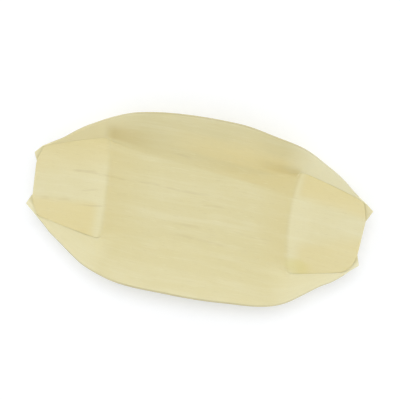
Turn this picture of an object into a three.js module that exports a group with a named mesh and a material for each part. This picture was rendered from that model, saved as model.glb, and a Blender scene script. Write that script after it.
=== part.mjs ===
// Snack boat folded from one thin sheet of pale wood veneer.
// Two creases across the grain lift an end tab at each end. The sides curve up softly from the floor,
// turn in towards the ends, and their corner flaps fold behind the tabs and are glued there.
// Millimetres, +Z up. The origin is under the middle of the flat floor, +X runs along the boat
// and +Y points to the rear side.

import * as THREE from 'three';
import { mergeVertices } from 'three/addons/utils/BufferGeometryUtils.js';

// Sheet and floor
const veneer = 0.6;               // thickness of the sheet
const floorLength = 113;          // from crease to crease
const floorWidth = 57;            // length of a crease, from slit root to slit root
const waistWidth = 41;            // flat width at the middle of the floor, between the soft bends
const bendReach = 5;              // run of the soft bend at the middle of a side
const cornerBendReach = 0.6;      // run of the bend beside a slit root

// Side walls
const rimHeight = 21.5;           // level rim above the table
const rimWidth = 101;             // across the rims at the middle of the boat
const shoulderSpacing = 88;       // between the points where a side turns in towards the two ends
const shoulderReach = 21;         // length of wing that the rounding of the turn takes up
const wingStop = 1.5;             // a wing ends this far short of the point where fold and rim meet

// End tabs and the flaps behind them, measured up the slope of the tab
const tabSlope = THREE.MathUtils.degToRad(33);
const tabOverRim = 3.7;           // the end edge stands this far past the level of the rim
const slitShoulder = 8;           // the slits run on square to the crease for about half this far
const tabEndWidth = 36.4;         // between the slits at the tab's end edge
const tabCorner = 5;              // trim of the rounded end corners
const tabInset = 0.8;             // the tab stands this far inside the fold of the flap
const earRise = 6.2;              // the ear's tip above the point where fold and rim meet
const earInset = 3.8;             // and this far in from it
const flapTipRise = 38;           // inner tip of a flap, up the slope from the crease
const flapTipSpacing = 4;         // between the inner tips of two flaps
const sheetCorner = 1;            // trim of the sheet's other corners

// Glue and clearances
const glueRadius = 4;
const glueRise = 34;              // middle of a dab, up the slope and half way out to the fold
const glueFilm = 0.2;             // thickness of a dab
const glueClearance = 0.15;       // between a dab and the sheet on either side
const creaseGap = 0.5;            // between two panels along a crease
const tableClearance = 0.3;       // a flap's root stays this far above the table

// Divisions of the curved panels
const middleColumns = 24;
const wingColumns = 12;
const wallRows = 8;
const floorColumns = 24;
const floorRows = 6;
const slitSteps = 10;
const cornerSegments = 6;
const glueSides = 20;
const probeShare = 0.25;          // of a division, to either side, for the slope of a curved panel

const veneerWood = new THREE.MeshStandardMaterial({ color: 0xddd4a8, roughness: 0.8, metalness: 0 });
const driedGlue = new THREE.MeshStandardMaterial({ color: 0xe9dcae, roughness: 0.35, metalness: 0 });

const creaseX = floorLength / 2;
const slitRootY = floorWidth / 2;
const floorMid = veneer / 2;                           // height of the floor's middle surface
const tabLength = (rimHeight - floorMid) / Math.sin(tabSlope) + tabOverRim;
const lapGap = glueFilm + 2 * glueClearance;           // between a tab and the flap behind it
const flapDepth = veneer + lapGap;                     // from the tab's middle surface to the flap's

const boat = new THREE.Group();

function addPiece(parent, name, geometry, material) {
  const piece = new THREE.Mesh(geometry, material);
  piece.name = name;
  parent.add(piece);
  return piece;
}

// Height of a quadratic curve at x, for a curve that starts at x = 0 and never turns back
function heightOver(curve, x) {
  const bend = curve.v2.x - 2 * curve.v1.x;
  const turn = x / (curve.v1.x + Math.sqrt(curve.v1.x ** 2 + bend * x));
  return curve.getPoint(turn).y;
}

// A slit starts square to the crease and bends in towards the end of the tab
const slitRoot = new THREE.Vector2(0, slitRootY);
const slitTurn = new THREE.Vector2(slitShoulder, slitRootY);
const slitEnd = new THREE.Vector2(tabLength, tabEndWidth / 2);
const slit = new THREE.QuadraticBezierCurve(slitRoot, slitTurn, slitEnd);

// Half width of the fold between a corner flap and its wing, at a distance up the slope
function foldHalfWidth(rise) {
  return heightOver(slit, rise);
}

// A point on the middle surface of the right rear flap, given up the slope and across the boat
function onFlap(rise, y) {
  const x = creaseX + rise * Math.cos(tabSlope) + flapDepth * Math.sin(tabSlope);
  const z = floorMid + rise * Math.sin(tabSlope) - flapDepth * Math.cos(tabSlope);
  return new THREE.Vector3(x, y, z);
}

// The fold starts just clear of the table and ends where it meets the level rim
const flapDrop = (flapDepth + veneer / 2) * Math.cos(tabSlope);
const foldStart = (flapDrop + tableClearance - floorMid) / Math.sin(tabSlope);
const foldEnd = (rimHeight - floorMid + flapDepth * Math.cos(tabSlope)) / Math.sin(tabSlope);
const foldRoot = onFlap(foldStart, foldHalfWidth(foldStart));
const foldTop = onFlap(foldEnd, foldHalfWidth(foldEnd));
const wingEnd = foldEnd - wingStop;

// Plan of the rim from the middle of the boat: a long rounding at the shoulder, then straight to the ear
const rimMiddle = new THREE.Vector2(0, rimWidth / 2);
const shoulder = new THREE.Vector2(shoulderSpacing / 2, rimWidth / 2);
const earRoot = new THREE.Vector2(foldTop.x, foldTop.y);
const wingLine = earRoot.clone().sub(shoulder).normalize();
const roundingEnd = shoulder.clone().addScaledVector(wingLine, shoulderReach);
const shoulderRounding = new THREE.QuadraticBezierCurve(rimMiddle, shoulder, roundingEnd);

// The rim's half width at a distance from the middle of the boat
function rimHalfWidth(x) {
  if (x >= roundingEnd.x) {
    return roundingEnd.y + (x - roundingEnd.x) * (wingLine.y / wingLine.x);
  }
  return heightOver(shoulderRounding, x);
}

// Where the flat floor ends and the wall's bend starts, and where floor and wall would meet unbent
function bendStart(x) {
  return THREE.MathUtils.lerp(waistWidth / 2, slitRootY - cornerBendReach, (x / creaseX) ** 2);
}

function bendKnuckle(x) {
  return bendStart(x) + THREE.MathUtils.lerp(bendReach, cornerBendReach, (x / creaseX) ** 2);
}

// A rib of the rear wall, from the edge of the floor or of a flap up to the rim.
// Columns are counted from the middle of the boat, negative to the left.
function wallRib(column) {
  const side = Math.sign(column);
  const middleHalf = middleColumns / 2;
  const reach = Math.abs(column);
  const foot = new THREE.Vector3();
  const knuckle = new THREE.Vector3();
  const rim = new THREE.Vector3();
  if (reach <= middleHalf) {
    const x = creaseX * (reach / middleHalf);
    foot.set(x, bendStart(x), floorMid);
    knuckle.set(x, bendKnuckle(x), floorMid);
    rim.set(x, rimHalfWidth(x), rimHeight);
  } else {
    const step = reach - middleHalf;
    const x = THREE.MathUtils.lerp(creaseX, onFlap(wingEnd, 0).x, step / wingColumns);
    if (step < 1) {
      const corner = new THREE.Vector3(creaseX, slitRootY - cornerBendReach, floorMid);
      foot.lerpVectors(corner, foldRoot, step);
    } else {
      const rise = THREE.MathUtils.lerp(foldStart, wingEnd, (step - 1) / (wingColumns - 1));
      foot.copy(onFlap(rise, foldHalfWidth(rise)));
    }
    rim.set(x, rimHalfWidth(x), rimHeight);
    knuckle.copy(rim).sub(foot).setLength(cornerBendReach).add(foot);
  }
  const seam = knuckle.clone().sub(foot).setLength(creaseGap / 2);
  foot.add(seam);
  knuckle.add(seam);
  for (const point of [foot, knuckle, rim]) {
    point.x *= side;
  }
  return new THREE.QuadraticBezierCurve3(foot, knuckle, rim);
}

// A slab of sheet whose middle surface follows place(u, v), with u and v running from 0 to 1
function curvedPanel(place, columns, rows) {
  const box = new THREE.BoxGeometry(1, 1, 1, columns, rows, 1);
  box.deleteAttribute('normal');
  box.deleteAttribute('uv');
  const slab = mergeVertices(box);
  const corners = slab.getAttribute('position');
  const nudge = probeShare / Math.max(columns, rows);
  const along = new THREE.Vector3();
  const across = new THREE.Vector3();
  for (let i = 0; i < corners.count; i += 1) {
    const u = corners.getX(i) + 0.5;
    const v = corners.getY(i) + 0.5;
    along.subVectors(place(Math.min(u + nudge, 1), v), place(Math.max(u - nudge, 0), v));
    across.subVectors(place(u, Math.min(v + nudge, 1)), place(u, Math.max(v - nudge, 0)));
    const normal = along.cross(across).normalize();
    const corner = place(u, v).addScaledVector(normal, veneer * corners.getZ(i));
    corners.setXYZ(i, corner.x, corner.y, corner.z);
  }
  slab.computeVertexNormals();
  return slab;
}

// A closed outline whose corners are trimmed and rounded where a trim is given
function roundedOutline(corners, trims) {
  const outline = new THREE.Shape();
  corners.forEach((corner, i) => {
    const before = corners.at(i - 1);
    const after = corners[(i + 1) % corners.length];
    const start = before.clone().sub(corner).setLength(trims[i]).add(corner);
    const end = after.clone().sub(corner).setLength(trims[i]).add(corner);
    if (i === 0) {
      outline.moveTo(start.x, start.y);
    } else {
      outline.lineTo(start.x, start.y);
    }
    if (trims[i] > 0) {
      outline.quadraticCurveTo(corner.x, corner.y, end.x, end.y);
    }
  });
  outline.closePath();
  return outline;
}

// Points along one slit, given up the slope and across, drawn in by an inset.
// The last stretch is left straight, twice as long as the trim of the corner at its end.
function slitPoints(start, end, endTrim, inset, side) {
  const points = [];
  for (let i = 0; i <= slitSteps; i += 1) {
    const rise = i < slitSteps ? THREE.MathUtils.lerp(start, end - 2 * endTrim, i / (slitSteps - 1)) : end;
    points.push(new THREE.Vector2(rise, side * (foldHalfWidth(rise) - inset)));
  }
  return points;
}

// Trims of those points: the slit's run between its two ends keeps its corners
function slitTrims(endTrim) {
  const run = new Array(slitSteps - 1).fill(0);
  return [sheetCorner, ...run, endTrim];
}

// A flat panel of the sheet, centred on a depth below the tab's middle surface
function flatPanel(outline, depth) {
  const options = { depth: veneer, bevelEnabled: false, curveSegments: cornerSegments };
  const slab = new THREE.ExtrudeGeometry(outline, options);
  slab.translate(0, 0, -veneer / 2 - depth);
  return slab;
}

function floorPlace(u, v) {
  const x = (2 * u - 1) * (creaseX - creaseGap / 2);
  const y = (2 * v - 1) * (bendStart(x) - creaseGap / 2);
  return new THREE.Vector3(x, y, floorMid);
}

function wallPlace(u, v) {
  const columns = middleColumns + 2 * wingColumns;
  return wallRib((u - 0.5) * columns).getPoint(v);
}

function tabOutline() {
  const front = slitPoints(creaseGap / 2, tabLength, tabCorner, tabInset, -1);
  const rear = slitPoints(creaseGap / 2, tabLength, tabCorner, tabInset, 1);
  const trims = slitTrims(tabCorner);
  return roundedOutline([...front, ...rear.reverse()], [...trims, ...trims.toReversed()]);
}

// The fold, then the ear's tip and the inner tip
function flapOutline(side) {
  const seam = creaseGap / 2;
  const earY = foldHalfWidth(foldEnd) - earInset - seam;
  const corners = slitPoints(foldStart, foldEnd, sheetCorner, seam, side);
  corners.push(new THREE.Vector2(foldEnd + earRise, side * earY));
  corners.push(new THREE.Vector2(flapTipRise, side * (flapTipSpacing / 2)));
  return roundedOutline(corners, [...slitTrims(sheetCorner), sheetCorner, sheetCorner]);
}

// One end of the boat: the tab, and behind it two flaps with their glue
function addEnd(endName, sideNames) {
  const end = new THREE.Group();
  end.position.set(creaseX, 0, floorMid);
  end.rotation.y = -tabSlope;
  addPiece(end, `${endName}_end_tab`, flatPanel(tabOutline(), 0), veneerWood);
  for (const side of [1, -1]) {
    const corner = `${sideNames[side]}_${endName}`;
    addPiece(end, `${corner}_corner_flap`, flatPanel(flapOutline(side), flapDepth), veneerWood);
    const dab = new THREE.CylinderGeometry(glueRadius, glueRadius, glueFilm, glueSides);
    const glue = addPiece(end, `${corner}_glue_spot`, dab, driedGlue);
    glue.rotation.x = Math.PI / 2;
    glue.position.set(glueRise, side * foldHalfWidth(glueRise) / 2, -flapDepth / 2);
  }
  return end;
}

addPiece(boat, 'floor_panel', curvedPanel(floorPlace, floorColumns, floorRows), veneerWood);

const wall = curvedPanel(wallPlace, middleColumns + 2 * wingColumns, wallRows);
addPiece(boat, 'rear_side_wall', wall, veneerWood);
addPiece(boat, 'front_side_wall', wall.clone(), veneerWood).rotation.z = Math.PI;

boat.add(addEnd('right', { 1: 'rear', [-1]: 'front' }));

const leftEnd = new THREE.Group();
leftEnd.rotation.z = Math.PI;
leftEnd.add(addEnd('left', { 1: 'front', [-1]: 'rear' }));
boat.add(leftEnd);

export default boat;
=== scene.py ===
import math
import bpy
from mathutils import Matrix, Vector, noise


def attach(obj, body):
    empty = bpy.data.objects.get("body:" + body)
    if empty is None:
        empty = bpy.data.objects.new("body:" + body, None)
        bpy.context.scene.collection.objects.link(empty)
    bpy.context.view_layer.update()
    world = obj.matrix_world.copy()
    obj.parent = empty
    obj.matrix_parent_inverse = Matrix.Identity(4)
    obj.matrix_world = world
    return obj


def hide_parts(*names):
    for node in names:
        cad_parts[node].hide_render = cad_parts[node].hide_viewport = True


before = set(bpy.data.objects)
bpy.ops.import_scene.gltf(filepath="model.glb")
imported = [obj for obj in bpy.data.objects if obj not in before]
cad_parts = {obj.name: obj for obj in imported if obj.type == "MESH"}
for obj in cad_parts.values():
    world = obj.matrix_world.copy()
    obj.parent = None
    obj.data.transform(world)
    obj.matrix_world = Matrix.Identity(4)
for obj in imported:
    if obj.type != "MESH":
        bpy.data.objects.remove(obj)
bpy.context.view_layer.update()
bpy.ops.object.select_all(action="DESELECT")
print("frame loaded with", len(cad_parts), "nodes")

mm = 0.001

# Sizes of the folded sheet, as the frame has them
sheet = {
    "thick": 0.6 * mm,
    "creaseX": 56.5 * mm,  # middle of the boat to a crease
    "slitRootY": 28.5 * mm,  # middle of the boat to a slit root
    "waistY": 20.5 * mm,  # flat half width at the middle of the floor
    "bendReach": 5 * mm,  # soft bend between floor and wall, at the middle
    "cornerReach": 0.6 * mm,  # and beside a slit root
    "rimZ": 21.5 * mm,
    "rimY": 50.5 * mm,
    "shoulderX": 44 * mm,
    "shoulderReach": 21 * mm,
    "slope": math.radians(33),  # of the end tabs
    "tabOverRim": 3.7 * mm,
    "slitShoulder": 8 * mm,
    "tabEndY": 18.2 * mm,
    "lap": 0.75 * mm,  # middle of the tab to the middle of a flap
    "tableGap": 0.3 * mm,  # under a flap's root
    "farBulge": 0.4 * mm,  # a flap's far edge is a little round
    "flapTipRise": 38 * mm,
    "flapTipY": 2 * mm,
    "foldStep": 0.1,  # of the fold's length, to find its direction
}

# Roundings of the folded sheet
rounding = {
    "crease": 1.6 * mm,  # half width along a crease
    "fold": 0.62 * mm,  # along the flap folds
    "foldSteps": 3,
    "edge": 0.05 * mm,  # worn edge of the cut sheet
    "edgeSteps": 2,
    "sharp": math.radians(60),  # edges sharper than this are worn
    "smooth": math.radians(40),  # edges flatter than this are shaded smooth
    "narrowest": 0.25 * mm,  # faces narrower than this keep their sharp edges
    "weld": 0.25 * mm,
    "smallest": 0.008 * mm,  # edges shorter than this are dissolved
}

# Small irregularities of a boat folded by hand, left (-1) and right (1)
settled = {
    "skew": {-1: math.radians(4.2), 1: math.radians(2.6)},  # creases lean off square
    "endSkew": {-1: math.radians(2.5), 1: math.radians(-3.5)},  # end edges
    "endReach": 36 * mm,  # from the crease's lean to the end's
    "bow": {-1: 1.4 * mm, 1: 3 * mm},  # creases bow towards the middle
    "draw": {-1: 1.3 * mm, 1: 2.8 * mm},  # and are drawn in
    "bowReach": 34 * mm,
    "wave": 0.35 * mm,  # slow waves of the thin floor
    "waveLength": 38 * mm,
    "waveBase": 0.6,
    "waveFade": 20 * mm,  # beside the creases
    "narrow": 4 * mm,  # a wing narrower than this follows the ear
    "closed": 0,  # slit gap near the end
    "closing": (8 * mm, 28 * mm),  # where the slit gap changes to that
    "rootReach": 3 * mm,  # a tab's edge comes out of its slit root
}

# Each corner of the boat came out a little different: keys are (end, side), right and rear are 1
corners = {
    (-1, 1): {
        "tabCorner": (3.6 * mm, 8.8 * mm, 0.3),  # along, across and roundness of the cut corner
        "ear": (3.7 * mm, 3.9 * mm),  # tip past the rim, and in from the fold
        "curl": 0.9 * mm,  # the ear leans away from the tab
        "gap": 0,  # slit gap near the root
        "rim": [  # place, reach and how far out it lies
            (56 * mm, 14 * mm, -0.6 * mm),
            (71 * mm, 12 * mm, 0.6 * mm),
            (88 * mm, 16 * mm, -0.8 * mm),
        ],
        "slit": [],  # the same
        "lit": 1.95,  # light through the wing
        "litFrom": (36 * mm, 66 * mm),  # where it begins and is full
        "earLit": 0.5,  # light through the ear
        "wing": 0.66,  # painted warm shade on the wing
        "warm": (15 * mm, 4 * mm, 8 * mm, 0.5),  # painted warm shade on the tab: edge at the crease, at the end, softness, share
        "warmFrom": (-2 * mm, 3 * mm),  # and its beginning beside the crease
    },
    (-1, -1): {
        "tabCorner": (4.5 * mm, 8.5 * mm, 0.3),
        "ear": (5.4 * mm, 4.9 * mm),
        "curl": 0.3 * mm,
        "gap": 0.32 * mm,
        "rim": [
            (42 * mm, 34 * mm, 1.6 * mm),
            (68 * mm, 22 * mm, 1.5 * mm),
            (88 * mm, 18 * mm, 1.2 * mm),
        ],
        "slit": [(86 * mm, 24 * mm, -1.2 * mm)],
        "lit": 0.85,
        "litFrom": (43 * mm, 61 * mm),
        "earLit": 1.2,
        "wing": 0.0,
        "warm": (9.5 * mm, 9.5 * mm, 2.5 * mm, 0.75),
        "warmFrom": (3 * mm, 10 * mm),
    },
    (1, 1): {
        "tabCorner": (3.8 * mm, 9.5 * mm, 0.3),
        "ear": (4.8 * mm, 3.2 * mm),
        "curl": 0.8 * mm,
        "gap": 0,
        "rim": [
            (38 * mm, 22 * mm, -1.2 * mm),
            (76 * mm, 20 * mm, 1.7 * mm),
        ],
        "slit": [],
        "lit": 1.95,
        "litFrom": (42 * mm, 65 * mm),
        "earLit": 0.4,
        "wing": 0.1,
        "warm": (16.5 * mm, 10.8 * mm, 3 * mm, 0.75),
        "warmFrom": (2 * mm, 7 * mm),
    },
    (1, -1): {
        "tabCorner": (7.5 * mm, 9 * mm, 1),
        "ear": (4.4 * mm, 3.8 * mm),
        "curl": 0.5 * mm,
        "gap": 0.1 * mm,
        "rim": [
            (54 * mm, 32 * mm, 2.1 * mm),
            (88 * mm, 15 * mm, 2.6 * mm),
        ],
        "slit": [],
        "lit": 1.12,
        "litFrom": (40 * mm, 66 * mm),
        "earLit": 1.2,
        "wing": 0.0,
        "warm": (15 * mm, 0, 5 * mm, 0.6),
        "warmFrom": (4 * mm, 12 * mm),
    },
}

# Painted light through the thin sheet, which follows the fold, as shares of a panel's height or length where
# no size is given
paintedLightShares = {
    "wallFoot": 0.5,  # a wall's end is fully lit from here up
    "frontPale": 0.25,  # the front wall has painted light, paler at its rim
    "frontFrom": 0.4,
    "wingFoot": 1.3,  # a wing is painted brighter at its foot, against the shade along the slit
    "wingReach": 0.4,
    "earFrom": (0.7, 0.9),  # along the flap's fold
    "tabFrom": 3 * mm,  # a tab has painted light from its crease on
    "tabPale": (0.8, 0.45),  # beside the crease and farther up
    "tabFade": (5 * mm, 20 * mm),
}

# Columns and rows of the grids that the sheet starts from
grids = {
    "floorColumns": 56,
    "creaseDraw": 0.35,  # the floor's columns draw together at the creases
    "floorRows": 22,
    "wallRows": 14,
    "wingColumns": 22,
    "tabColumns": 28,
    "tabEven": 0.4,  # the rest of the tab's columns draw together at both ends
    "flapRows": 10,
}

sheetMid = sheet["thick"] / 2
creaseX = sheet["creaseX"]
slope = sheet["slope"]
tabLength = (sheet["rimZ"] - sheetMid) / math.sin(slope) + sheet["tabOverRim"]
tabUp = Vector((-math.sin(slope), 0, math.cos(slope)))


def mix(a, b, share):
    return a + (b - a) * share


def soft(low, high, value):  # smooth step from 0 to 1
    share = min(max((value - low) / (high - low), 0), 1)
    return share * share * (3 - 2 * share)


def quadHeight(first, handle, last, x):  # height of a quadratic curve that starts at x = 0
    bend = last[0] - 2 * handle[0]
    turn = x / (handle[0] + math.sqrt(handle[0] ** 2 + bend * x))
    rest = 1 - turn
    return rest * rest * first[1] + 2 * rest * turn * handle[1] + turn * turn * last[1]


def slitHalf(rise):  # half width of the flap fold at a distance up the slope
    root = (0, sheet["slitRootY"])
    turn = (sheet["slitShoulder"], sheet["slitRootY"])
    end = (tabLength, sheet["tabEndY"])
    return quadHeight(root, turn, end, rise)


def onFlap(rise, y):
    x = creaseX + rise * math.cos(slope) + sheet["lap"] * math.sin(slope)
    z = sheetMid + rise * math.sin(slope) - sheet["lap"] * math.cos(slope)
    return Vector((x, y, z))


flapDrop = (sheet["lap"] + sheetMid) * math.cos(slope)
foldStart = (flapDrop + sheet["tableGap"] - sheetMid) / math.sin(slope)
foldEnd = (sheet["rimZ"] - sheetMid + sheet["lap"] * math.cos(slope)) / math.sin(slope)
foldTop = onFlap(foldEnd, slitHalf(foldEnd))
shoulder = Vector((sheet["shoulderX"], sheet["rimY"]))
wingLine = (foldTop.to_2d() - shoulder).normalized()
shoulderEnd = shoulder + wingLine * sheet["shoulderReach"]


def rimHalf(x):
    if x >= shoulderEnd.x:
        return shoulderEnd.y + (x - shoulderEnd.x) * wingLine.y / wingLine.x
    return quadHeight((0, sheet["rimY"]), shoulder, shoulderEnd, x)


def bendStart(x):
    return mix(sheet["waistY"], sheet["slitRootY"] - sheet["cornerReach"], (x / creaseX) ** 2)


def bendKnuckle(x):
    return bendStart(x) + mix(sheet["bendReach"], sheet["cornerReach"], (x / creaseX) ** 2)


def ribPoint(foot, knuckle, rim, share):
    rest = 1 - share
    return foot * rest * rest + knuckle * 2 * rest * share + rim * share * share


# Each spot function gives a folded place in the right rear quarter and its place on the flat blank

def creaseStep(past, y):  # a distance past the crease, rounded over the fold
    across = min(abs(y) / (sheet["slitRootY"] - sheet["cornerReach"]), 1)
    reach = rounding["crease"] * (1 - across ** 4)
    if past <= -reach:
        return past, 0.0
    if past >= reach:
        return past * math.cos(slope), past * math.sin(slope)
    radius = reach / math.tan(slope / 2)
    angle = slope * (past + reach) / (2 * reach)
    return radius * math.sin(angle) - reach, radius * (1 - math.cos(angle))


def columnX(column):
    w = 2 * column / grids["floorColumns"] - 1
    return creaseX * w * (1 + grids["creaseDraw"] * (1 - w * w))


def floorSpot(column, row):
    x = columnX(column)
    y = (2 * row / grids["floorRows"] - 1) * bendStart(x)
    run, lift = creaseStep(abs(x) - creaseX, y)
    return Vector((math.copysign(creaseX + run, x), y, sheetMid + lift)), (x, y)


def wallSpot(column, row):
    x = columnX(column)
    foot = Vector((x, bendStart(x), sheetMid))
    knuckle = Vector((x, bendKnuckle(x), sheetMid))
    rim = Vector((x, rimHalf(abs(x)), sheet["rimZ"]))
    length = 0
    for step in range(row):
        shares = [(step + i) / grids["wallRows"] for i in (0, 1)]
        low, high = (ribPoint(foot, knuckle, rim, share) for share in shares)
        length += (high - low).length
    return ribPoint(foot, knuckle, rim, row / grids["wallRows"]), (x, foot.y + length)


def wingRib(column):
    last = grids["wingColumns"]
    if column == 0:
        foot = Vector((creaseX, bendStart(creaseX), sheetMid))
    else:
        rise = mix(foldStart, foldEnd, (column - 1) / (last - 1))
        foot = onFlap(rise, slitHalf(rise))
    x = mix(creaseX, foldTop.x, column / last)
    rim = Vector((x, rimHalf(x), sheet["rimZ"]))
    knuckle = Vector((creaseX, sheet["slitRootY"], sheetMid))
    if column > 0:
        height = max((rim - foot).length, 2 * sheet["cornerReach"])
        knuckle = foot.lerp(rim, sheet["cornerReach"] / height)
    return foot, knuckle, rim


def farPoint(a, fromA, b, fromB):  # the flat point at two distances, towards the end of the blank
    span = b - a
    along = (fromA ** 2 - fromB ** 2 + span.length_squared) / (2 * span.length)
    aside = math.sqrt(max(fromA ** 2 - along ** 2, 0))
    way = span.normalized()
    return a + way * along + Vector((way.y, -way.x)) * aside


def unrollWing():  # foot and rim of every wing rib, laid flat beside the wall
    foot, knuckle, rim = wingRib(0)
    wallTop = wallSpot(grids["floorColumns"], grids["wallRows"])[1]
    flat = [(Vector((creaseX, foot.y)), Vector(wallTop))]
    for column in range(1, grids["wingColumns"] + 1):
        newFoot, knuckle, newRim = wingRib(column)
        flatFoot, flatRim = flat[-1]
        newFlatRim = farPoint(flatFoot, (newRim - foot).length, flatRim, (newRim - rim).length)
        newFlatFoot = farPoint(flatFoot, (newFoot - foot).length, newFlatRim, (newRim - newFoot).length)
        flat.append((newFlatFoot, newFlatRim))
        foot, rim = newFoot, newRim
    return flat


flatWing = unrollWing()


def wingSpot(column, row):
    foot, knuckle, rim = wingRib(column)
    spot = ribPoint(foot, knuckle, rim, row / grids["wallRows"])
    share = (spot - foot).length / max((rim - foot).length, rounding["smallest"])
    flatFoot, flatRim = flatWing[column]
    return spot, tuple(flatFoot.lerp(flatRim, share))


def flapFlat(rise, y):  # a flap's place on the blank, turned back round the fold
    root = complex(foldStart, slitHalf(foldStart))
    top = complex(foldEnd, slitHalf(foldEnd))
    flatRoot = complex(*flatWing[1][0])
    turn = (complex(*flatWing[-1][0]) - flatRoot) / (top - root)
    flat = flatRoot + turn * (complex(rise, y) - root)
    return flat.real, flat.imag


def flapSpot(column, row, corner):
    pastRim, fromFold = corner["ear"]
    along = column / (grids["wingColumns"] - 1)
    inward = row / grids["flapRows"]
    rise = mix(foldStart, foldEnd, along)
    farRise = mix(sheet["flapTipRise"], foldEnd + pastRim, along)
    farRise += 4 * sheet["farBulge"] * along * (1 - along)
    farY = mix(sheet["flapTipY"], slitHalf(foldEnd) - fromFold, along)
    place = (mix(rise, farRise, inward), mix(slitHalf(rise), farY, inward))
    away = corner["curl"] * along ** 4 * inward  # only near the ear
    return onFlap(*place) - tabUp * away, flapFlat(*place)


def wingOver(rise, height):  # from the fold out to the wing's inner face, at a height over the flap
    step = sheet["foldStep"]
    share = min(max((rise - foldStart) / (foldEnd - foldStart), 0), 1 - step)
    near, far = (mix(foldStart, foldEnd, part) for part in (share, share + step))
    foot = onFlap(near, slitHalf(near))
    fold = onFlap(far, slitHalf(far)) - foot
    rimX = mix(creaseX, foldTop.x, share)
    rib = Vector((rimX, rimHalf(rimX), sheet["rimZ"])) - foot
    face = fold.cross(rib).normalized()
    face *= math.copysign(1, face.y)
    return (-sheetMid - height * face.dot(tabUp)) / face.y


def tabHalf(rise, corner, height=0):  # half width of the tab, with its cut end corner
    along, across, roundness = corner["tabCorner"]
    gap = mix(corner["gap"], settled["closed"], soft(*settled["closing"], rise))
    beside = wingOver(rise, sheet["lap"] + height) - gap
    inset = mix(-sheet["cornerReach"], beside, soft(0, settled["rootReach"], rise))
    past = max(rise - (tabLength - along), 0) / along
    cut = across * mix(past, 1 - math.sqrt(max(1 - past * past, 0)), roundness)
    return slitHalf(rise) + inset - cut


def tabRise(column):
    w = column / grids["tabColumns"]
    return tabLength * mix(soft(0, 1, w), w, grids["tabEven"])


def tabSpot(column, row, side):
    rise = tabRise(column)
    across = 2 * row / grids["floorRows"] - 1
    y = across * tabHalf(rise, corners[(side, 1 if across > 0 else -1)])
    run, lift = creaseStep(rise, y)
    return Vector((creaseX + run, y, sheetMid + lift)), (creaseX + rise, y)


def paintedWarmShade(rise, y, corner):  # how much painted warm shade a place on the tab gets along its slit, where the flap doubles the sheet
    start, end, edge, share = corner["warm"]
    inside = abs(y) - mix(start, end, rise / tabLength)
    return share * soft(-edge, edge, inside) * soft(*corner["warmFrom"], rise)


def heightShare(x, y):  # 0 at the foot of a wall or wing, 1 at its rim
    foot = bendStart(x)
    if x > creaseX:
        foot = slitHalf(min((x - creaseX) / math.cos(slope), foldEnd))
    width = max(rimHalf(x) - foot, settled["narrow"])
    return min(max((y - foot) / width, 0), 1)


def settle(spot):
    x, y, z = spot
    side = -1 if x < 0 else 1
    rear = -1 if y < 0 else 1
    past = soft(creaseX, creaseX + settled["endReach"], abs(x))
    lean = mix(settled["skew"][side], settled["endSkew"][side], past) * soft(0, creaseX, abs(x))
    across = min(abs(y) / sheet["slitRootY"], 1)
    near = 1 - soft(0, settled["bowReach"], abs(abs(x) - creaseX))
    share = heightShare(abs(x), abs(y))
    drawn = settled["draw"][side] + settled["bow"][side] * (1 - across ** 2)
    run = -math.tan(lean) * y - side * drawn * near
    out = 0
    for line, weight in (("rim", share), ("slit", across ** 2 * (1 - share))):
        for middle, reach, distance in corners[(side, rear)][line]:
            held = weight ** 2 if distance < 0 else weight  # a wing drawn in stays off its tab
            out += held * distance * (1 - soft(0, reach, abs(abs(x) - middle)))
    wave = noise.noise(Vector((x, y, 0)) / settled["waveLength"]) + settled["waveBase"]
    lift = settled["wave"] * max(wave, 0) * soft(0, settled["waveFade"], creaseX - abs(x))
    return Vector((x + run * (1 - share), y + rear * out, z + lift * (1 - share)))


# Veneer sheet: grids are folded into place, joined, welded along creases and folds, and thickened

def gridPanel(columns, rows, place, side=1, rear=1):
    bpy.ops.mesh.primitive_grid_add(x_subdivisions=columns, y_subdivisions=rows, size=1)
    panel = bpy.context.object
    panel.data.attributes.new("grainPlace", "FLOAT_VECTOR", "POINT")
    # the raised and warm fields carry painted light through the sheet and painted warm shade
    for name in ("warm", "paintedLight", "onFold", "pressed", "rim"):
        panel.data.attributes.new(name, "FLOAT", "POINT")
    fields = panel.data.attributes
    for corner in panel.data.vertices:
        column = round((corner.co.x + 0.5) * columns)
        row = round((corner.co.y + 0.5) * rows)
        spot, flat, marks = place(column, row, side, rear)
        corner.co = settle(Vector((spot.x * side, spot.y * rear, spot.z)))
        fields["grainPlace"].data[corner.index].vector = (flat[0] * side, flat[1] * rear, 0)
        for name, value in marks.items():
            fields[name].data[corner.index].value = value
    return panel


def floorPlace(column, row, side, rear):
    return (*floorSpot(column, row), {})


def layerMarks(corner, share, height):  # of a single layer: its painted light, its painted warm shade and its rim
    return {"paintedLight": share * corner["lit"], "warm": share * corner["wing"], "rim": int(height == 1)}


def wallPlace(column, row, side, rear):
    spot, flat = wallSpot(column, row)
    corner = corners[(1 if spot.x > 0 else -1, rear)]
    height = row / grids["wallRows"]
    share = soft(*corner["litFrom"], abs(spot.x)) * soft(0, paintedLightShares["wallFoot"], height)
    if rear < 0:
        share = max(share, paintedLightShares["frontPale"] * soft(paintedLightShares["frontFrom"], 1, height))
    return spot, flat, layerMarks(corner, share, height)


def foldMark(column, row):  # a fold is rounded all along but for its two ends
    return int(row == 0 and 1 < column < grids["wingColumns"] - 1)


def wingPlace(column, row, side, rear):
    spot, flat = wingSpot(column, row)
    corner = corners[(side, rear)]
    height = row / grids["wallRows"]
    share = soft(*corner["litFrom"], spot.x) * mix(paintedLightShares["wingFoot"], 1, soft(0, paintedLightShares["wingReach"], height))
    marks = layerMarks(corner, share, height)
    marks["onFold"] = foldMark(column, row)
    return spot, flat, marks


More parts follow.
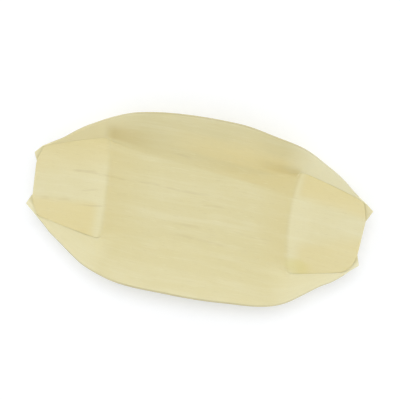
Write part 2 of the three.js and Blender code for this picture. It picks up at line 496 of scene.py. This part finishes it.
def flapPlace(column, row, side, rear):
    corner = corners[(side, rear)]
    # painted light through the ear
    lit = corner["earLit"] * soft(*paintedLightShares["earFrom"], column / (grids["wingColumns"] - 1))
    return (*flapSpot(column, row, corner), {"onFold": foldMark(column + 1, row), "paintedLight": lit})


def tabPlace(column, row, side, rear):
    spot, flat = tabSpot(column, row, side)
    rise = flat[0] - creaseX
    corner = corners[(side, 1 if flat[1] > 0 else -1)]
    warm = paintedWarmShade(rise, flat[1], corner)
    pale = mix(*paintedLightShares["tabPale"], soft(*paintedLightShares["tabFade"], rise))
    # painted light through the tab, paler beside the crease, less under the painted warm shade
    paintedLight = soft(0, paintedLightShares["tabFrom"], rise) * (1 - warm) * pale
    pressed = 0
    if row in (0, grids["floorRows"]) and column > 0:  # how far the upper edge leans out with the wing
        pressed = tabHalf(rise, corner, sheet["thick"] / 2) - tabHalf(rise, corner)
    return spot, flat, {"warm": warm, "paintedLight": paintedLight, "pressed": pressed}


def foldPanels():
    panels = [gridPanel(grids["floorColumns"], grids["floorRows"], floorPlace)]
    for side in (1, -1):
        panels.append(gridPanel(grids["tabColumns"], grids["floorRows"], tabPlace, side))
    for rear in (1, -1):
        panels.append(gridPanel(grids["floorColumns"], grids["wallRows"], wallPlace, 1, rear))
        for side in (1, -1):
            panels.append(gridPanel(grids["wingColumns"], grids["wallRows"], wingPlace, side, rear))
            panels.append(gridPanel(grids["wingColumns"] - 1, grids["flapRows"], flapPlace, side, rear))
    return panels


def weldPanels(panels):
    bpy.ops.object.select_all(action="DESELECT")
    for panel in panels:
        panel.select_set(True)
    bpy.context.view_layer.objects.active = panels[0]
    bpy.ops.object.join()
    made = bpy.context.object
    made.name = made.data.name = "veneer_sheet"
    bpy.ops.object.mode_set(mode="EDIT")
    bpy.ops.mesh.select_all(action="SELECT")
    bpy.ops.mesh.remove_doubles(threshold=rounding["weld"])
    bpy.ops.mesh.normals_make_consistent(inside=False)
    bpy.ops.mesh.select_all(action="DESELECT")
    bpy.ops.object.mode_set(mode="OBJECT")
    return made


def bevelSelected(width, steps, **settings):
    bpy.ops.object.mode_set(mode="EDIT")
    bpy.ops.mesh.select_mode(type="EDGE")
    bpy.ops.mesh.bevel(offset=width, segments=steps, affect="EDGES", **settings)


def roundFolds(made):
    onFold = made.data.attributes["onFold"].data
    for edge in made.data.edges:
        edge.select = all(onFold[corner].value > 0.5 for corner in edge.vertices)
    bevelSelected(rounding["fold"], rounding["foldSteps"], clamp_overlap=True)
    bpy.ops.object.mode_set(mode="OBJECT")


def thickenSheet(made):
    thicken = made.modifiers.new("thickness", "SOLIDIFY")
    thicken.thickness = sheet["thick"]
    thicken.offset = 0
    thicken.use_even_offset = True
    thicken.material_offset_rim = 1
    flatCount = len(made.data.vertices)
    bpy.ops.object.modifier_apply(modifier="thickness")
    pressed = made.data.attributes["pressed"].data
    points = made.data.vertices
    for first, second in zip(points[:flatCount], points[flatCount:]):  # the two sides of the sheet
        lean = pressed[first.index].value * (1 if first.co.y > 0 else -1)
        upper, lower = (first, second) if first.co.z > second.co.z else (second, first)
        upper.co.y += lean
        lower.co.y -= lean


def narrowEdges(made):  # edges of faces too narrow to be worn round
    found = set()
    for face in made.data.polygons:
        ends = [made.data.vertices[corner].co for corner in face.vertices]
        shortest = min((a - b).length for a, b in zip(ends, ends[1:] + ends[:1]))
        if shortest < rounding["narrowest"]:
            found.update(face.edge_keys)
    return found


def wearEdges(made):
    bpy.ops.object.mode_set(mode="EDIT")
    bpy.ops.mesh.select_all(action="DESELECT")
    bpy.ops.mesh.edges_select_sharp(sharpness=rounding["sharp"])
    bpy.ops.object.mode_set(mode="OBJECT")
    pressed = made.data.attributes["pressed"].data
    narrow = narrowEdges(made)
    for edge in made.data.edges:
        tight = all(abs(pressed[corner].value) > rounding["edge"] for corner in edge.vertices)
        if tight or edge.key in narrow:  # a tab lies tight along its wing
            edge.select = False
    bevelSelected(rounding["edge"], rounding["edgeSteps"], clamp_overlap=False, material=1)
    bpy.ops.mesh.select_all(action="SELECT")
    bpy.ops.mesh.dissolve_degenerate(threshold=rounding["smallest"])
    bpy.ops.object.mode_set(mode="OBJECT")


def makeSheet():
    made = weldPanels(foldPanels())
    roundFolds(made)
    thickenSheet(made)
    wearEdges(made)
    for corner in made.data.vertices:
        corner.co.z = max(corner.co.z, 0)  # nothing sinks into the table
    bpy.ops.object.shade_smooth_by_angle(angle=rounding["smooth"])
    print("veneer sheet has", len(made.data.polygons), "faces")
    return made


# Shader helpers

def addNode(tree, kind, inputs=None, **settings):
    made = tree.nodes.new(kind)
    for name, value in settings.items():
        setattr(made, name, value)
    for socket, value in (inputs or {}).items():
        if isinstance(value, bpy.types.NodeSocket):
            tree.links.new(value, made.inputs[socket])
        else:
            made.inputs[socket].default_value = value
    return made


def calc(tree, operation, a, b=0.0, c=0.0):
    return addNode(tree, "ShaderNodeMath", {0: a, 1: b, 2: c}, operation=operation).outputs[0]


def ramp(tree, value, low, high, start=0.0, end=1.0):  # smooth change from start to end
    inputs = {0: value, 1: low, 2: high, 3: start, 4: end}
    return addNode(tree, "ShaderNodeMapRange", inputs, interpolation_type="SMOOTHSTEP").outputs[0]


def tint(tree, share, under, over):
    inputs = {0: share, 6: under, 7: over}
    return addNode(tree, "ShaderNodeMix", inputs, data_type="RGBA").outputs[2]


def sheetField(tree, name, output="Fac"):  # one of the sheet's own attributes
    return addNode(tree, "ShaderNodeAttribute", attribute_name=name).outputs[output]


def clouds(tree, scale, detail):
    place = addNode(tree, "ShaderNodeTexCoord").outputs["Object"]
    inputs = {"Vector": place, "Scale": scale, "Detail": detail}
    return addNode(tree, "ShaderNodeTexNoise", inputs).outputs[0]


def addBump(tree, shader, height, strength, distance):
    inputs = {"Strength": strength, "Distance": distance, "Height": height}
    tree.links.new(addNode(tree, "ShaderNodeBump", inputs).outputs[0], shader.inputs["Normal"])


def newMaterial(name):
    made = bpy.data.materials.new(name)
    made.use_nodes = True
    return made, made.node_tree, made.node_tree.nodes["Principled BSDF"]


# The sheet's narrow edge, where the knife crushed the fibres
cutEdge = {
    "colour": (0.38, 0.33, 0.195, 1),
    "dark": (0.28, 0.235, 0.12, 1),
    "tornScale": 700.0,
    "tornDetail": 3.0,
    "tornRamp": (0.35, 0.65),
    "paintedLightLean": 0.05 * mm,  # lean of an edge that is pressed to its wing; such an edge takes the face's colour, painted light over the dark line along the slit
    "roughRamp": (0.3, 0.7, 0.75, 0.95),
    "gloss": 0.2,
    "bump": (0.4, 0.1 * mm),  # strength and depth
}


def makeCutEdge():
    material, tree, shader = newMaterial("veneer_cut_edge")
    torn = clouds(tree, cutEdge["tornScale"], cutEdge["tornDetail"])
    colour = tint(tree, ramp(tree, torn, *cutEdge["tornRamp"]), cutEdge["dark"], cutEdge["colour"])
    leaning = calc(tree, "ABSOLUTE", sheetField(tree, "pressed"))
    # painted light: edges pressed to their wing take the face's colour, so the slit shows no dark line
    colour = tint(tree, ramp(tree, leaning, 0.0, cutEdge["paintedLightLean"]), colour, veneer["body"])
    tree.links.new(colour, shader.inputs["Base Color"])
    tree.links.new(ramp(tree, torn, *cutEdge["roughRamp"]), shader.inputs["Roughness"])
    shader.inputs["Specular IOR Level"].default_value = cutEdge["gloss"]
    addBump(tree, shader, torn, *cutEdge["bump"])
    return material


# Pale veneer with lengthwise grain, placed on the flat blank in mm: along it, then across
veneer = {
    "body": (0.721, 0.662, 0.394, 1),
    "pale": (0.756, 0.709, 0.466, 1),  # light streaks
    "brown": (0.703, 0.624, 0.338, 1),  # heartwood streak, partly painted shade of the bend at the rear wall's foot
    "shade": (0.60, 0.49, 0.20, 1),  # in the two rear corners
    "line": (0.45, 0.35, 0.16, 1),
    "lit": (0.87, 0.84, 0.615, 1),  # painted light of a single layer with light behind it; also the pale glints
    # painted warm shade on the tabs and wings; on the rear wall painted light at its foot, and the wood's
    # own warmer tone higher up
    "warm": (0.785, 0.69, 0.37, 1),
    "stain": (0.70, 0.64, 0.24, 1),
    "lean": 0.02,  # grain drifts across the boat
    "wander": 2.4,
    "gentle": 0.5,  # share of the wander that streaks and lines follow
    "wobble": 1.5,  # sideways, of the dark lines
    "noises": {  # length and width of the cells, detail, shift
        "slow": (70, 22, 1.0, 4.1),
        "bands": (120, 7, 2.0, 2.7),
        "patches": (22, 5, 2.0, 3.3),
        "strands": (60, 1.3, 3.0, 7.3),
        "fibres": (14, 0.22, 3.0, 0.0),
        "pores": (2.6, 0.24, 1.0, 9.9),
        "dashes": (7, 0.55, 1.0, 5.2),
        "glints": (9, 0.6, 1.0, 2.2),
        "wobbles": (34, 9, 1.0, 6.6),
        "breaks": (9, 4, 1.0, 8.1),
    },
    "noiseRough": 0.6,
    "toneBase": -0.4,
    "toneShares": {"bands": 0.6, "patches": 0.5, "strands": 0.4, "fibres": 0.15},
    "ramps": {  # from, to, and the values there
        "pale": (0.3, 0.7, 0.0, 0.75),
        "uneven": (0.3, 0.65, 0.7, 1.0),  # streaks are patchy
        "toCrease": (-30.0, -2.0),  # the floor is a little browner beside the creases
        "overCrease": (-1.5, 1.5, 1.0, 0.0),
        "toWall": (20.0, 30.0, 1.0, 0.0),
        "breaks": (0.35, 0.6, 0.25, 1.0),  # dark lines are broken
        "dashes": (0.67, 0.8, 0.0, 0.12),
        "pores": (0.66, 0.76, 0.0, 0.1),
        "glints": (0.66, 0.8, 0.0, 0.2),
        "rim": (0.75, 0.95),  # thin dark line along the rims
        "frontRim": (30.0, 56.0, 0.5, 0.0),  # darker at the middle of the front one
        "stain": (0.0, 1.6, 0.38, 0.0),
        "rough": (0.3, 0.7, 0.86, 0.72),
    },
    "creaseShare": 0.5,
    "litShare": 0.55,
    "warmShare": 0.8,
    "rimShare": 0.3,
    "streaks": [  # colour, start, end, half width, soft lower and upper edge, soft ends, share
        # the two brown streaks lie on the bend at the rear wall's foot: partly the wood's heartwood, partly
        # painted shade of the bend
        ("brown", (-56, 31.5), (58, 19.7), 4, (1.6, 10), (8, 8), 0.28),
        ("brown", (0, 25.6), (57, 19.8), 4.5, (1.6, 9), (36, 20), 1.0),
        # painted light that lifts the shade at the rear wall's foot; the next warm streak is the wood's own
        # tone
        ("warm", (-12, 37), (50, 31), 4, (4, 8), (36, 12), 0.7),
        ("warm", (14, 44), (60, 38), 3, (5, 9), (24, 14), 0.32),
    ],
    "shades": [  # the same, in the two rear corners
        ((-57, 34.4), (-40, 32.4), 2.0, (3.6, 14), (7, 34), 0.54),
        ((34, 31), (56.5, 28.6), 1.0, (3, 6), (26, 5), 0.36),
    ],
    "lines": [  # start, end, half width, soft edge, soft ends, share
        ((-76, 8.8), (4, 6.4), 0.25, 0.7, 8, 0.15),
        ((-77, 8.7), (-65, 9.4), 0.4, 0.7, 5, 0.2),
        ((-73, -2.2), (-61, -0.8), 0.2, 0.7, 5, 0.12),
        ((-94, -10), (-78, -8.6), 0.6, 1.0, 6, 0.12),
        ((-72, -10.8), (-56, -9.7), 0.15, 0.4, 6, 0.2),
        ((-50, -1.9), (-44, -1.0), 0.3, 0.6, 3, 0.13),
        ((-15, -12), (2, -13.4), 0.25, 0.8, 5, 0.13),
        ((-13, -18.6), (18, -19.6), 0.3, 0.8, 8, 0.11),
        ((2, 0.9), (14, 1.7), 0.25, 0.7, 4, 0.11),
        ((22, -12), (54, -13), 0.1, 0.5, 10, 0.12),
        ((-22, 28.4), (-9, 27.2), 0.3, 0.6, 5, 0.14),
    ],
    "stainPlace": (64, -24),
    "stainSize": (8, 4.8),
    "gloss": 0.25,
    "scatter": 0.4,
    "scatterReach": 0.4 * mm,
    "bump": (0.2, 0.1 * mm),  # strength and depth
    "lineDepth": 0.6,  # of the dark lines, against the fibres
}


def grainNoise(tree, flat, name):
    length, width, detail, shift = veneer["noises"][name]
    scale = (1 / length, 1 / width, 1)
    mapped = addNode(tree, "ShaderNodeMapping", {0: flat, 1: (shift, shift, 0), 3: scale}).outputs[0]
    inputs = {"Vector": mapped, "Scale": 1.0, "Detail": detail, "Roughness": veneer["noiseRough"]}
    return addNode(tree, "ShaderNodeTexNoise", inputs, noise_dimensions="2D").outputs[0]


def strip(tree, along, across, start, end, half, edge, fade):  # 1 on a straight strip of the blank
    slant = (end[1] - start[1]) / (end[0] - start[0])
    off = calc(tree, "MULTIPLY_ADD", along, -slant, across)
    off = calc(tree, "SUBTRACT", off, start[1] - slant * start[0])
    low = ramp(tree, off, -half - edge[0], -half)
    side = calc(tree, "MULTIPLY", low, ramp(tree, off, half, half + edge[1], 1.0, 0.0))
    first = ramp(tree, along, start[0] - fade[0] / 2, start[0] + fade[0] / 2)
    last = ramp(tree, along, end[0] - fade[1] / 2, end[0] + fade[1] / 2, 1.0, 0.0)
    return calc(tree, "MULTIPLY", side, calc(tree, "MULTIPLY", first, last))


def besideCrease(tree, along, across):
    ramps = veneer["ramps"]
    past = calc(tree, "SUBTRACT", calc(tree, "ABSOLUTE", along), creaseX / mm)
    onFloor = ramp(tree, past, *ramps["toCrease"])
    near = calc(tree, "MULTIPLY", onFloor, ramp(tree, past, *ramps["overCrease"]))
    inner = ramp(tree, calc(tree, "ABSOLUTE", across), *ramps["toWall"])
    return calc(tree, "MULTIPLY", calc(tree, "MULTIPLY", near, inner), veneer["creaseShare"])


def darkMarks(tree, along, across, blank, grain):  # broken dark lines, short dashes and pores
    ramps = veneer["ramps"]
    wobble = grainNoise(tree, blank, "wobbles")
    wobble = calc(tree, "MULTIPLY_ADD", wobble, 2 * veneer["wobble"], -veneer["wobble"])
    wavy = calc(tree, "ADD", across, wobble)
    broken = ramp(tree, grainNoise(tree, blank, "breaks"), *ramps["breaks"])
    dashes = ramp(tree, grain["dashes"], *ramps["dashes"])
    marks = calc(tree, "MAXIMUM", dashes, ramp(tree, grain["pores"], *ramps["pores"]))
    for start, end, half, edge, fade, share in veneer["lines"]:
        drawn = strip(tree, along, wavy, start, end, half, (edge, edge), (fade, fade))
        drawn = calc(tree, "MULTIPLY", drawn, broken)
        marks = calc(tree, "MAXIMUM", marks, calc(tree, "MULTIPLY", drawn, share))
    return marks


def rimLine(tree, along, across):
    middle = ramp(tree, calc(tree, "ABSOLUTE", along), *veneer["ramps"]["frontRim"])
    front = calc(tree, "LESS_THAN", across, 0.0)
    share = calc(tree, "MAXIMUM", calc(tree, "MULTIPLY", middle, front), veneer["rimShare"])
    return calc(tree, "MULTIPLY", ramp(tree, sheetField(tree, "rim"), *veneer["ramps"]["rim"]), share)


def stainSpot(tree, along, across):
    squares = []
    for value, middle, half in zip((along, across), veneer["stainPlace"], veneer["stainSize"]):
        off = calc(tree, "DIVIDE", calc(tree, "SUBTRACT", value, middle), half)
        squares.append(calc(tree, "MULTIPLY", off, off))
    return ramp(tree, calc(tree, "ADD", *squares), *veneer["ramps"]["stain"])


def makeVeneer():
    material, tree, shader = newMaterial("pale_veneer")
    ramps = veneer["ramps"]
    place = sheetField(tree, "grainPlace", "Vector")
    blank = addNode(tree, "ShaderNodeVectorMath", {0: place, 3: 1 / mm}, operation="SCALE").outputs[0]
    parts = addNode(tree, "ShaderNodeSeparateXYZ", {0: blank})
    along, across = parts.outputs[0], parts.outputs[1]
    slow = grainNoise(tree, blank, "slow")
    wander = calc(tree, "MULTIPLY_ADD", slow, 2 * veneer["wander"], -veneer["wander"])
    drift = calc(tree, "MULTIPLY_ADD", along, veneer["lean"], wander)
    drifted = calc(tree, "ADD", across, drift)
    flat = addNode(tree, "ShaderNodeCombineXYZ", {0: along, 1: drifted}).outputs[0]
    gentle = calc(tree, "MULTIPLY_ADD", wander, veneer["gentle"], across)
    names = ("bands", "patches", "strands", "fibres", "pores", "dashes", "glints")
    grain = {name: grainNoise(tree, flat, name) for name in names}
    tone = veneer["toneBase"]
    for name, share in veneer["toneShares"].items():
        tone = calc(tree, "MULTIPLY_ADD", grain[name], share, tone)
    colour = tint(tree, ramp(tree, tone, *ramps["pale"]), veneer["body"], veneer["pale"])
    uneven = ramp(tree, grain["patches"], *ramps["uneven"])
    for hue, *shape, share in veneer["streaks"]:
        covered = calc(tree, "MULTIPLY", strip(tree, along, gentle, *shape), uneven)
        colour = tint(tree, calc(tree, "MULTIPLY", covered, share), colour, veneer[hue])
    colour = tint(tree, besideCrease(tree, along, across), colour, veneer["brown"])
    # painted light where light comes through the sheet, painted warm shade along the slits and on the wings
    lit = calc(tree, "MULTIPLY", sheetField(tree, "paintedLight"), veneer["litShare"])
    colour = tint(tree, lit, colour, veneer["lit"])
    warm = calc(tree, "MULTIPLY", sheetField(tree, "warm"), veneer["warmShare"])
    colour = tint(tree, warm, colour, veneer["warm"])
    for *shape, share in veneer["shades"]:
        covered = calc(tree, "MULTIPLY", strip(tree, along, gentle, *shape), share)
        colour = tint(tree, covered, colour, veneer["shade"])
    marks = darkMarks(tree, along, gentle, blank, grain)
    colour = tint(tree, marks, colour, veneer["line"])
    colour = tint(tree, ramp(tree, grain["glints"], *ramps["glints"]), colour, veneer["lit"])
    colour = tint(tree, rimLine(tree, along, across), colour, cutEdge["colour"])
    colour = tint(tree, stainSpot(tree, along, across), colour, veneer["stain"])
    tree.links.new(colour, shader.inputs["Base Color"])
    tree.links.new(ramp(tree, grain["strands"], *ramps["rough"]), shader.inputs["Roughness"])
    shader.inputs["Specular IOR Level"].default_value = veneer["gloss"]
    shader.inputs["Subsurface Weight"].default_value = veneer["scatter"]
    shader.inputs["Subsurface Radius"].default_value = (1.0, 1.0, 1.0)
    shader.inputs["Subsurface Scale"].default_value = veneer["scatterReach"]
    fibres = calc(tree, "ADD", grain["fibres"], grain["strands"])
    addBump(tree, shader, calc(tree, "MULTIPLY_ADD", marks, -veneer["lineDepth"], fibres), *veneer["bump"])
    return material


# Dabs of glue between each flap and its tab
dab = {
    "radius": 4 * mm,
    "film": 0.12 * mm,
    "rise": 34 * mm,
    "segments": 28,
    "rings": 10,
    "flatness": 0.5,  # below 1 the dab is a film with a round edge
    "lobes": (0.14, 0.084),  # uneven outline: two and three lobes
    "colour": (0.72, 0.60, 0.33, 1),
    "dark": (0.60, 0.46, 0.22, 1),
    "cloudScale": 900.0,
    "cloudDetail": 3.0,
    "cloudRamp": (0.35, 0.65),
    "roughRamp": (0.3, 0.7, 0.3, 0.5),
    "bump": (0.3, 0.05 * mm),  # strength and depth
}


def makeGlueMaterial():
    material, tree, shader = newMaterial("dried_glue")
    cloudy = clouds(tree, dab["cloudScale"], dab["cloudDetail"])
    colour = tint(tree, ramp(tree, cloudy, *dab["cloudRamp"]), dab["dark"], dab["colour"])
    tree.links.new(colour, shader.inputs["Base Color"])
    tree.links.new(ramp(tree, cloudy, *dab["roughRamp"]), shader.inputs["Roughness"])
    addBump(tree, shader, cloudy, *dab["bump"])
    return material


def makeDab(name, side, rear):
    bpy.ops.mesh.primitive_uv_sphere_add(segments=dab["segments"], ring_count=dab["rings"], radius=1)
    made = bpy.context.object
    made.name = made.data.name = name
    seed = 2.0 * side + rear  # each dab has its own outline
    two, three = dab["lobes"]
    middle = slitHalf(dab["rise"]) / 2
    for corner in made.data.vertices:
        x, y, z = corner.co
        around = math.atan2(y, x)
        swell = 1 + two * math.sin(2 * around + seed) + three * math.sin(3 * around - 2 * seed)
        reach = swell * dab["radius"]
        over = sheet["lap"] / 2 + math.copysign(abs(z) ** dab["flatness"], z) * dab["film"] / 2
        spot = onFlap(dab["rise"] + x * reach, middle + y * reach) + tabUp * over
        corner.co = settle(Vector((spot.x * side, spot.y * rear, spot.z)))
    bpy.ops.object.mode_set(mode="EDIT")
    bpy.ops.mesh.select_all(action="SELECT")
    bpy.ops.mesh.normals_make_consistent(inside=False)
    bpy.ops.object.mode_set(mode="OBJECT")
    bpy.ops.object.shade_smooth()
    return made


# Floor, light and camera
studio = {
    "floor": 4.0,  # width in metres
    "floorColour": (0.93, 0.945, 0.985, 1),
    "floorRough": 0.9,
    "floorGlow": 0.08,  # added for the camera, so that the open floor is plain white
    "zenith": 0.72,
    "horizon": 0.94,  # bright walls of a light tent
    "tentTop": 0.8,  # sine of the angle at which the walls end
    "lampFrom": Vector((0.03, 0.28, 0.93)),
    "lampAngle": math.radians(36),
    "lamp": 0.9,
}

photoView = {
    "place": Vector((56.9, 66.4, 793.9)) * mm,
    "aim": Vector((-0.6, 3.2, 0)) * mm,
    "turn": math.radians(9.88),  # of the picture's upright, off the boat's own
    "focal": 1400,  # in pixels, as is the width of the frame
    "frame": 400,
    "sensor": 36,  # width in millimetres
    "farthest": 20,  # in metres
}


def makeFloor():
    bpy.ops.mesh.primitive_plane_add(size=studio["floor"])
    ground = bpy.context.object
    ground.name = "floor"
    material, tree, shader = newMaterial("white_floor")
    shader.inputs["Base Color"].default_value = studio["floorColour"]
    shader.inputs["Roughness"].default_value = studio["floorRough"]
    shader.inputs["Specular IOR Level"].default_value = 0.0
    path = addNode(tree, "ShaderNodeLightPath")
    glow = calc(tree, "MULTIPLY", path.outputs["Is Camera Ray"], studio["floorGlow"])
    white = addNode(tree, "ShaderNodeEmission", {"Strength": glow})
    seen = addNode(tree, "ShaderNodeAddShader", {0: shader.outputs[0], 1: white.outputs[0]})
    tree.links.new(seen.outputs[0], tree.nodes["Material Output"].inputs["Surface"])
    ground.data.materials.append(material)


def makeLight():
    world = bpy.data.worlds.new("studio_sky")
    bpy.context.scene.world = world
    world.use_nodes = True
    tree = world.node_tree
    sky = tree.nodes["Background"]
    seen = addNode(tree, "ShaderNodeLightPath").outputs["Is Camera Ray"]
    direction = addNode(tree, "ShaderNodeTexCoord").outputs["Generated"]
    height = addNode(tree, "ShaderNodeSeparateXYZ", {0: direction}).outputs[2]
    level = ramp(tree, height, 0.0, studio["tentTop"], studio["horizon"], studio["zenith"])
    strength = calc(tree, "MULTIPLY_ADD", level, calc(tree, "SUBTRACT", 1.0, seen), seen)
    sky.inputs["Color"].default_value = (1, 1, 1, 1)
    tree.links.new(strength, sky.inputs["Strength"])
    bpy.ops.object.light_add(type="SUN")
    lamp = bpy.context.object
    lamp.name = "soft_lamp"
    lamp.data.energy = studio["lamp"]
    lamp.data.angle = studio["lampAngle"]
    lamp.rotation_euler = studio["lampFrom"].to_track_quat("Z", "Y").to_euler()


def makeCamera():
    bpy.ops.object.camera_add()
    camera = bpy.context.object
    camera.name = "photo_view"
    camera.data.sensor_width = photoView["sensor"]
    camera.data.lens = photoView["sensor"] * photoView["focal"] / photoView["frame"]
    camera.data.clip_end = photoView["farthest"]
    forward = (photoView["aim"] - photoView["place"]).normalized()
    upright = Vector((-math.sin(photoView["turn"]), math.cos(photoView["turn"]), 0))
    right = forward.cross(upright).normalized()
    up = right.cross(forward)
    turned = Matrix((right, up, -forward)).transposed()
    camera.matrix_world = Matrix.Translation(photoView["place"]) @ turned.to_4x4()
    bpy.context.scene.camera = camera


boatSheet = makeSheet()
for finish in (makeVeneer(), makeCutEdge()):
    boatSheet.data.materials.append(finish)
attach(boatSheet, "root")
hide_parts("floor_panel", "rear_side_wall", "front_side_wall", "right_end_tab", "left_end_tab")

glue = makeGlueMaterial()
for side, end in ((1, "right"), (-1, "left")):
    for rear, flank in ((1, "rear"), (-1, "front")):
        corner = flank + "_" + end
        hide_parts(corner + "_corner_flap")
        piece = makeDab(corner + "_glue_dab", side, rear)
        piece.data.materials.append(glue)
        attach(piece, "root")
        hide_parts(corner + "_glue_spot")
print("glue dabs made")

makeFloor()
makeLight()
makeCamera()
bpy.context.scene.view_settings.view_transform = "Standard"
print("studio ready")
